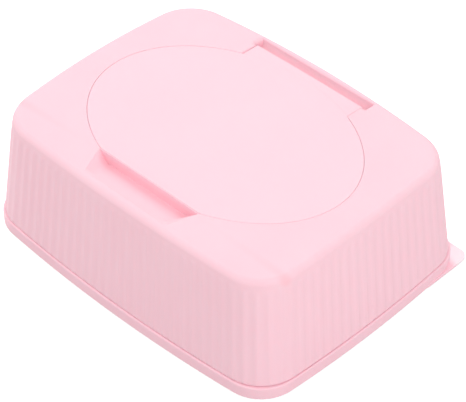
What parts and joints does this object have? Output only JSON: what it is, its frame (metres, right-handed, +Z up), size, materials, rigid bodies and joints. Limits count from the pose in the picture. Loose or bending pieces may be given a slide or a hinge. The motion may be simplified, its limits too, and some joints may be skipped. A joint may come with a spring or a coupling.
{
  "type": "wet wipes dispenser",
  "caption": "Low ribbed box for wet wipes with a flip lid over a soft outlet slit, a finger scoop, and a base cover that comes off for refilling.",
  "frame": {"origin": "middle of the footprint, on the table", "axes": "+X along the box, -Y towards the finger scoop, +Y towards the hinge, +Z up"},
  "size_m": [0.1926, 0.1502, 0.0699],
  "materials": {
    "casing": "satin moulded polypropylene",
    "lid": "satin moulded polypropylene",
    "base_cover": "satin moulded polypropylene",
    "soft_insert": "matte moulded thermoplastic elastomer",
    "seal": "matte silicone",
    "foot_pad": "matte silicone"
  },
  "bodies": {
    "base": {"base_cover": "base_cover", "base_seal": "seal", "foot_front_left": "foot_pad", "foot_front_right": "foot_pad", "foot_rear_left": "foot_pad", "foot_rear_right": "foot_pad"},
    "casing": {"casing": "casing", "outlet_insert": "soft_insert"},
    "lid": {"lid": "lid", "lid_seal": "seal"}
  },
  "joints": [
    {"name": "casing_lift", "type": "slide", "parent": "base", "child": "casing", "axis": [0, 0, 1], "range_m": [0, 0.08]},
    {"name": "lid_hinge", "type": "hinge", "parent": "casing", "child": "lid", "pos_m": [0, 0.0566, 0.0644], "axis": [-1, 0, 0], "range_deg": [0, 120]}
  ]
}
